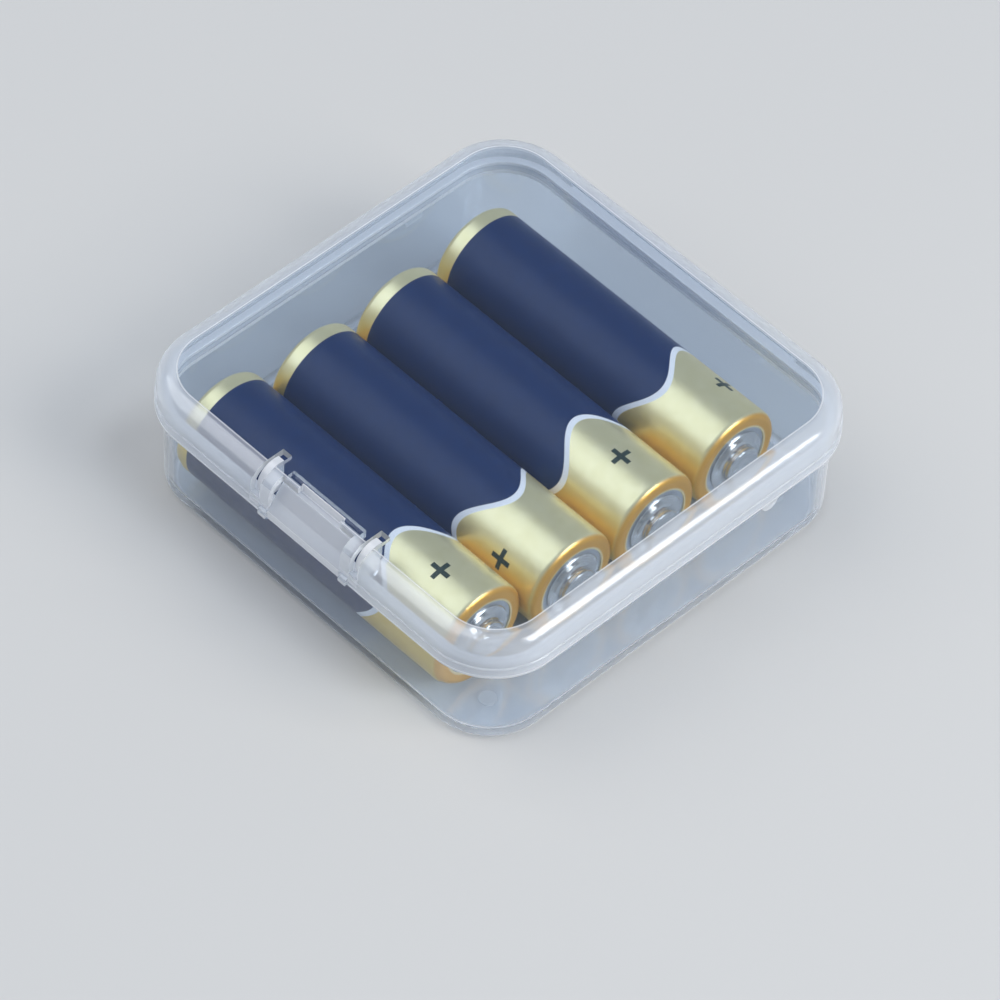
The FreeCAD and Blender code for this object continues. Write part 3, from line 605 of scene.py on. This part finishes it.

# %% Milky plastic and painted highlights: strength, and the box of conditions
CHEEK_BOX = {"y": (-31.0, 2.3), "z": (18.0, 1.9)}
TAB_BOX = {"y": (TAB_Y, 1.5), "z": (12.9, 1.1)}
# Entries on thin edges, lines, rims, the foot and the tab's edge paint highlights where refraction
# draws bright lines; broad faces and the hinge are the plastic's milky and frosted look.
MILKY_AND_HIGHLIGHTS = {
    "lid shoulder and skirt": (0.34, {"out": (8.7, 1.5), "z": (16.8, 3.2)}),
    "painted highlight where the lid's top begins to bend": (0.7, {"out": (7.12, 0.1), "z": (19.8, 0.15)}),
    "painted highlight on the top of the hem": (0.5, {"out": (8.7, 1.7), "z": (15.45, 0.13)}),
    "tray rim": (0.92, {"out": (7.9, 1.1), "z": (15.5, 0.3)}),
    "snap ledge": (0.92, {"x": (0, 20.6), "y": (33.15, 0.35), "z": (15.3, 0.45)}),
    "painted highlight on the lower edge of the skirt and beads": (0.88, {"out": (8.7, 1.7), "z": (13.88, 0.32)}),
    "milky foot of the tray with a painted highlight": (0.9, {"out": (8.7, 1.6), "z": (0.4, 0.5)}),
    "underside": (0.4, {"z": (0.0, 0.06)}),
    "rings of the pin marks": (0.95, {"x": (MARK_PLACE, 1.4), "z": (0.16, 0.14), "flat": (0, 0.5)}),
    "pin marks": (0.6, {"x": (MARK_PLACE, 1.3), "z": (0.3, 0.05)}),
    "painted highlight on the edge of the thumb tab": (0.95, {"x": (33.4, 0.45), **TAB_BOX, "side": (0, 0.5)}),
    "thumb tab": (0.5, {"x": (33.3, 0.5), **TAB_BOX}),
    "tray floor": (0.12, {"z": (0.65, 0.7)}),
    "upright faces of the hinge": (0.6, {"x": (0, 9.9), "y": (-32.1, 2.3), "z": (17.3, 2.7),
                                         "flat": (0, 0.5)}),
    "slots": (0.45, {"x": (9.03, 0.9), "y": (-29.0, 0.8), "z": (17.8, 2.2), "flat": (0, 0.5)}),
    "tongue plate": (0.55, {"x": (0, 6.63), "y": (-32.3, 1.85), "z": (16.4, 2.25)}),
    "tongue's lower bead": (0.85, {"x": (0, 6.7), "y": (-34.0, 0.25), "z": (14.2, 0.85)}),
    "riser behind the plate": (0.92, {"x": (0, 3.9), "y": (-30.5, 0.15), "z": (19.2, 0.72)}),
    "sides of the cheeks": (0.5, {"x": (9.03, 0.56), **CHEEK_BOX}),
    "painted highlight on the edges of the cheeks": (0.95, {"x": (9.03, 0.54), **CHEEK_BOX, "side": (0, 0.5)}),
}
for strength, conditions in MILKY_AND_HIGHLIGHTS.values():
    part = strength
    for axis, (middle, half_width) in conditions.items():
        unit = 1.0 if axis in ("side", "flat") else MM
        inside = add(tree, "Math", {0: coordinate[axis], 1: middle * unit, 2: half_width * unit},
                     operation="COMPARE")
        part = add(tree, "Math", {0: inside, 1: part}, operation="MULTIPLY")
    share = add(tree, "Math", {0: share, 1: part}, operation="MAXIMUM")
print("milky places:", len(MILKY_AND_HIGHLIGHTS))

# %% [markdown]
# Light from a lamp goes straight through the walls, only dimmed where the veil lies, because thin
# clear walls throw a faint shadow with no bright lines in it. Rays that leave a dull surface go
# straight through as well. If they were bent, the lamps' light would count twice on the floor,
# once straight and once bent, and a bright halo would lie round the open lid.

# %% Put the plastic together
body = add(tree, "MixShader", {0: share, 1: clear, 2: veil_and_highlight})
let_through = add(tree, "Mix", {0: share, 6: colour("#F8FAFC"), 7: colour("#D2D5D9")}, out=2,
                  data_type="RGBA")
through = add(tree, "BsdfTransparent", {"Color": let_through})
path = add(tree, "LightPath").node.outputs
straight = add(tree, "Math", {0: path["Is Shadow Ray"], 1: path["Is Diffuse Ray"]},
               operation="MAXIMUM")
show(tree, add(tree, "MixShader", {0: straight, 1: body, 2: through}))
dress([lid, tray], plastic)
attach(lid, "lid")
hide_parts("lid")
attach(tray, "tray")
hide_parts("base_tray")

# %% [markdown]
# **Printed shrink film**: a thin film with a vapour-metallised gold ground, and opaque navy ink on
# most of the body. The ink stops at a white line that waves round the can, and a plain plus sign
# marks the positive end. The pattern reads the sleeve's own UV map: U is the share of the way
# round, V is the way along the sleeve in units of 110 mm.

# %% Printed film: where each colour lies
film, tree = new_material("printed_shrink_film")
split = add(tree, "SeparateXYZ", {0: add(tree, "UVMap", uv_map="print")}).node
round_share = split.outputs[0]
along = add(tree, "Math", {0: split.outputs[1], 1: V_LENGTH}, operation="MULTIPLY")
# The border's place in mm: 36.4 plus 2.1 times the sine of three waves round the can
phase = add(tree, "Math", {0: round_share, 1: 6 * math.pi}, operation="MULTIPLY")
swing = add(tree, "Math", {0: phase}, operation="SINE")
border = add(tree, "Math", {0: swing, 1: 2.1, 2: 36.4}, operation="MULTIPLY_ADD")
past = add(tree, "Math", {0: along, 1: border}, operation="SUBTRACT")
is_line = add(tree, "MapRange", {"Value": past, "From Min": -0.5, "From Max": -0.42})
is_gold = add(tree, "MapRange", {"Value": past, "From Min": 0.42, "From Max": 0.5})
is_band = add(tree, "MapRange", {"Value": along, "From Min": 3.05, "From Max": 2.97})
is_fold = add(tree, "MapRange", {"Value": along, "From Min": 48.7, "From Max": 49.1})
# The pale lip at the fold's inner edge is a painted highlight.
is_lip_painted_highlight = add(tree, "MapRange", {"Value": along, "From Min": 50.55, "From Max": 50.75})

# %% A plus sign: two bars 3 mm long and 0.7 mm wide, 42.5 mm along and a quarter turn round
beside = add(tree, "Math", {0: round_share, 1: 0.25}, operation="SUBTRACT")
beside = add(tree, "Math", {0: beside, 1: 2 * math.pi * CELL_R}, operation="MULTIPLY")
beside = add(tree, "Math", {0: beside}, operation="ABSOLUTE")
ahead = add(tree, "Math", {0: along, 1: 42.5}, operation="SUBTRACT")
ahead = add(tree, "Math", {0: ahead}, operation="ABSOLUTE")
longest = add(tree, "Math", {0: beside, 1: ahead}, operation="MAXIMUM")
shortest = add(tree, "Math", {0: beside, 1: ahead}, operation="MINIMUM")
in_length = add(tree, "Math", {0: longest, 1: 1.5}, operation="LESS_THAN")
in_width = add(tree, "Math", {0: shortest, 1: 0.35}, operation="LESS_THAN")
is_plus = add(tree, "Math", {0: in_length, 1: in_width}, operation="MULTIPLY")

# %% [markdown]
# The gold has two tones, and both are painted light. Where the film faces up it is a pale greenish
# painted highlight of the light from above, and on the flanks a deep amber painted reflection of
# the neighbouring cells' gold. Where the film folds over the end it is pulled thin and turns
# orange, and its pale lip is a painted highlight. The tones drift in patches of 1.6 mm, and film
# that is shrunk on waves every 6 mm. Its real crinkles are about 0.2 mm apart, too fine to show, so
# they are drawn at 0.7 mm.

# %% Printed film: colours and finish
where = add(tree, "TexCoord", out="Object")
tone = add(tree, "TexNoise", {"Vector": where, "Scale": 1 / (1.6 * MM), "Detail": 3.0})
# Painted light by facing: faces turned up get a pale painted highlight, flanks a deep amber painted
# reflection.
painted_top_light = add(tree, "SeparateXYZ", {0: add(tree, "TexCoord", out="Normal")}, out=2)
painted_top_light = add(tree, "MapRange", {"Value": painted_top_light, "From Min": 0.35, "From Max": 0.8})
painted_flank_reflection = add(tree, "Mix", {0: tone, 6: colour("#E8C76A"), 7: colour("#F6DA88")}, out=2,
           data_type="RGBA")
painted_top_highlight = add(tree, "Mix", {0: tone, 6: colour("#DDD3A0"), 7: colour("#EDE4BA")}, out=2,
           data_type="RGBA")
gold = add(tree, "Mix", {0: painted_top_light, 6: painted_flank_reflection, 7: painted_top_highlight}, out=2, data_type="RGBA")
gold = add(tree, "Mix", {0: is_fold, 6: gold, 7: colour("#E6AE52")}, out=2, data_type="RGBA")
# Painted highlight: the pale lip of the fold.
gold = add(tree, "Mix", {0: is_lip_painted_highlight, 6: gold, 7: colour("#F5E2B0")}, out=2, data_type="RGBA")
tint = add(tree, "Mix", {0: tone, 6: colour("#0F2750"), 7: colour("#16315F")}, out=2,
           data_type="RGBA")
for share, print_colour in ((is_line, colour("#F2F4F6")), (is_gold, gold), (is_band, gold),
                            (is_plus, colour("#2B3B34"))):
    tint = add(tree, "Mix", {0: share, 6: tint, 7: print_colour}, out=2, data_type="RGBA")
bare = add(tree, "Math", {0: is_gold, 1: is_band}, operation="MAXIMUM")
metal = add(tree, "Math", {0: bare, 1: 0.58}, operation="MULTIPLY")
unprinted = add(tree, "Math", {0: 1.0, 1: is_plus}, operation="SUBTRACT")
metal = add(tree, "Math", {0: metal, 1: unprinted}, operation="MULTIPLY")
wrinkle = add(tree, "TexNoise", {"Vector": where, "Scale": 1 / (6 * MM), "Detail": 1.0})
bump = add(tree, "Bump", {"Height": wrinkle, "Strength": 0.2, "Distance": 0.15 * MM})
crinkle = add(tree, "TexNoise", {"Vector": where, "Scale": 1 / (0.7 * MM), "Detail": 2.0})
bump = add(tree, "Bump", {"Height": crinkle, "Strength": 0.25, "Distance": 0.03 * MM,
                          "Normal": bump})
show(tree, add(tree, "BsdfPrincipled", {"Base Color": tint, "Metallic": metal, "Roughness": 0.36,
                                        "Specular IOR Level": 0.2, "Normal": bump}))
dress(parts["sleeve"], film)

# %% [markdown]
# **Nickel-plated steel**: the can, the positive cap and the negative cover are pressed from strip
# and plated. Pressing leaves fine rings, which the V of the UV map draws as a faint bump. Real
# rings are a few hundredths of a millimetre apart, too fine to show, so they are drawn at 0.4 to
# 0.6 mm. Duller spots of the plating, about 0.8 mm across, vary the roughness.

# %% Nickelled steel in three finishes
def nickel(name, code, rough, ring_mm):
    """Plated steel with turned rings a given distance apart: height = sine of V / pitch."""
    made, tree = new_material(name)
    v = add(tree, "SeparateXYZ", {0: add(tree, "UVMap", uv_map="print")}, out=1)
    wave = add(tree, "Math", {0: v, 1: V_LENGTH / ring_mm * 2 * math.pi}, operation="MULTIPLY")
    wave = add(tree, "Math", {0: wave}, operation="SINE")
    where = add(tree, "TexCoord", out="Object")
    speck = add(tree, "TexNoise", {"Vector": where, "Scale": 1 / (0.8 * MM), "Detail": 3.0})
    height = add(tree, "Math", {0: wave, 1: speck}, operation="ADD")
    bump = add(tree, "Bump", {"Height": height, "Strength": 0.15, "Distance": 0.03 * MM})
    roughness = add(tree, "MapRange", {"Value": speck, "To Min": rough - 0.05,
                                       "To Max": rough + 0.08})
    show(tree, add(tree, "BsdfPrincipled", {"Base Color": colour(code), "Metallic": 1.0,
                                            "Roughness": roughness, "Normal": bump}))
    return made


dress(parts["can"], nickel("drawn_steel_can", "#C9CBCD", 0.3, 0.5))
dress(parts["cap"], nickel("pressed_nickel_cap", "#DDDCD8", 0.16, 0.4))
dress(parts["cover"], nickel("pressed_nickel_cover", "#D9D8D4", 0.2, 0.6))

# %% [markdown]
# **Moulded nylon** for the seals and a **pressed powder mix** for the filling, which nobody sees
# unless a cell is taken apart. Both are plain, with a faint change of tone in grains of 1 mm and
# 0.4 mm. The filling stays as the CAD model has it.

# %% Nylon and powder mix
PLAIN = (
    ("moulded_nylon", 1.0, 2.0, "#DDE3E6", "#EDF0F2", {"Roughness": 0.4, "IOR": 1.53},
     parts["seal"], "seal_nylon"),
    ("pressed_powder_mix", 0.4, 4.0, "#232323", "#3A3937", {"Roughness": 0.85},
     [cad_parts["%s_core" % cell] for cell in CELLS], "cell_mix"),
)
for name, grain_mm, detail, dark, light, surface, objects, slot in PLAIN:
    material, tree = new_material(name)
    grain = add(tree, "TexNoise", {"Vector": add(tree, "TexCoord", out="Object"),
                                   "Scale": 1 / (grain_mm * MM), "Detail": detail})
    tint = add(tree, "Mix", {0: grain, 6: colour(dark), 7: colour(light)}, out=2, data_type="RGBA")
    show(tree, add(tree, "BsdfPrincipled", {"Base Color": tint, **surface}))
    dress(objects, material)
print("materials:", sorted(material.name for material in bpy.data.materials if material.users))

# %% [markdown]
# ## Studio
#
# A plain pale floor, a surround that is pale near the horizon and greyer blue above, and two soft
# lamps. The smaller one stands on the right, so that it lies along the right-hand skirt as a
# bright band. The larger one hangs high on the left, and fills the hinge side and the cells' tops.

# %% Floor and surround
bpy.ops.mesh.primitive_plane_add(size=4.0, location=(0, 0, -0.0001))
floor = bpy.context.object
floor.name = "floor"
paper, tree = new_material("pale_paper")
show(tree, add(tree, "BsdfPrincipled", {"Base Color": colour("#D0D0CE"), "Roughness": 0.9,
                                        "Specular IOR Level": 0.2}))
floor.data.materials.append(paper)

world = bpy.data.worlds.new("surround")
bpy.context.scene.world = world
world.use_nodes = True
tree = world.node_tree
height = add(tree, "SeparateXYZ", {0: add(tree, "TexCoord", out="Generated")}, out=2)
high = add(tree, "MapRange", {"Value": height, "From Min": 0.15, "From Max": 0.7})
sky = add(tree, "Mix", {0: high, 6: colour("#C9CED6"), 7: colour("#6B7A92")}, out=2,
          data_type="RGBA")
tree.links.new(sky, tree.nodes["Background"].inputs["Color"])
tree.nodes["Background"].inputs["Strength"].default_value = 0.8


# %% Two soft lamps
def lamp(name, place, size, power):
    """A soft square lamp, of a size in metres and a power in watts, that faces the case."""
    light = bpy.data.lights.new(name, "AREA")
    light.shape, light.size, light.energy = "SQUARE", size, power
    made = bpy.data.objects.new(name, light)
    made.location = place
    aim = Vector((0, 0, 0.01)) - Vector(place)
    made.rotation_euler = aim.to_track_quat("-Z", "Y").to_euler()
    bpy.context.scene.collection.objects.link(made)


lamp("key", (0.75, 0.30, 0.60), 0.5, 7.5)
lamp("front", (-0.47, -0.32, 0.85), 1.0, 6.8)

# %% [markdown]
# ## Camera
#
# A long lens from the front right, about 49 degrees above the table, rolled by 3.5 degrees, as the
# case's outline in the picture gives it. The small shifts put the case where the picture has it.

# %% Camera
DISTANCE, LENS, SENSOR = 0.8755, 6.777, 36.0       # metres, and the lens in sensor widths
azimuth, elevation, roll = (math.radians(a) for a in (43.65, 49.17, 3.48))
back = Vector((math.sin(azimuth) * math.cos(elevation), -math.cos(azimuth) * math.cos(elevation),
               math.sin(elevation)))
right = Vector((math.cos(azimuth), math.sin(azimuth), 0))
up = back.cross(right)
across = math.cos(roll) * right + math.sin(roll) * up
upright = math.cos(roll) * up - math.sin(roll) * right
lens = bpy.data.cameras.new("camera")
lens.sensor_width, lens.lens = SENSOR, LENS * SENSOR
lens.shift_x, lens.shift_y = 0.00594, -0.01757
lens.clip_start, lens.clip_end = 0.05, 20.0
camera = bpy.data.objects.new("camera", lens)
bpy.context.scene.collection.objects.link(camera)
axes = Matrix((across, upright, back)).transposed().to_4x4()
camera.matrix_world = Matrix.Translation(back * DISTANCE) @ axes
bpy.context.scene.camera = camera
bpy.context.scene.view_settings.view_transform = "Standard"

# %% The end
bpy.context.view_layer.update()
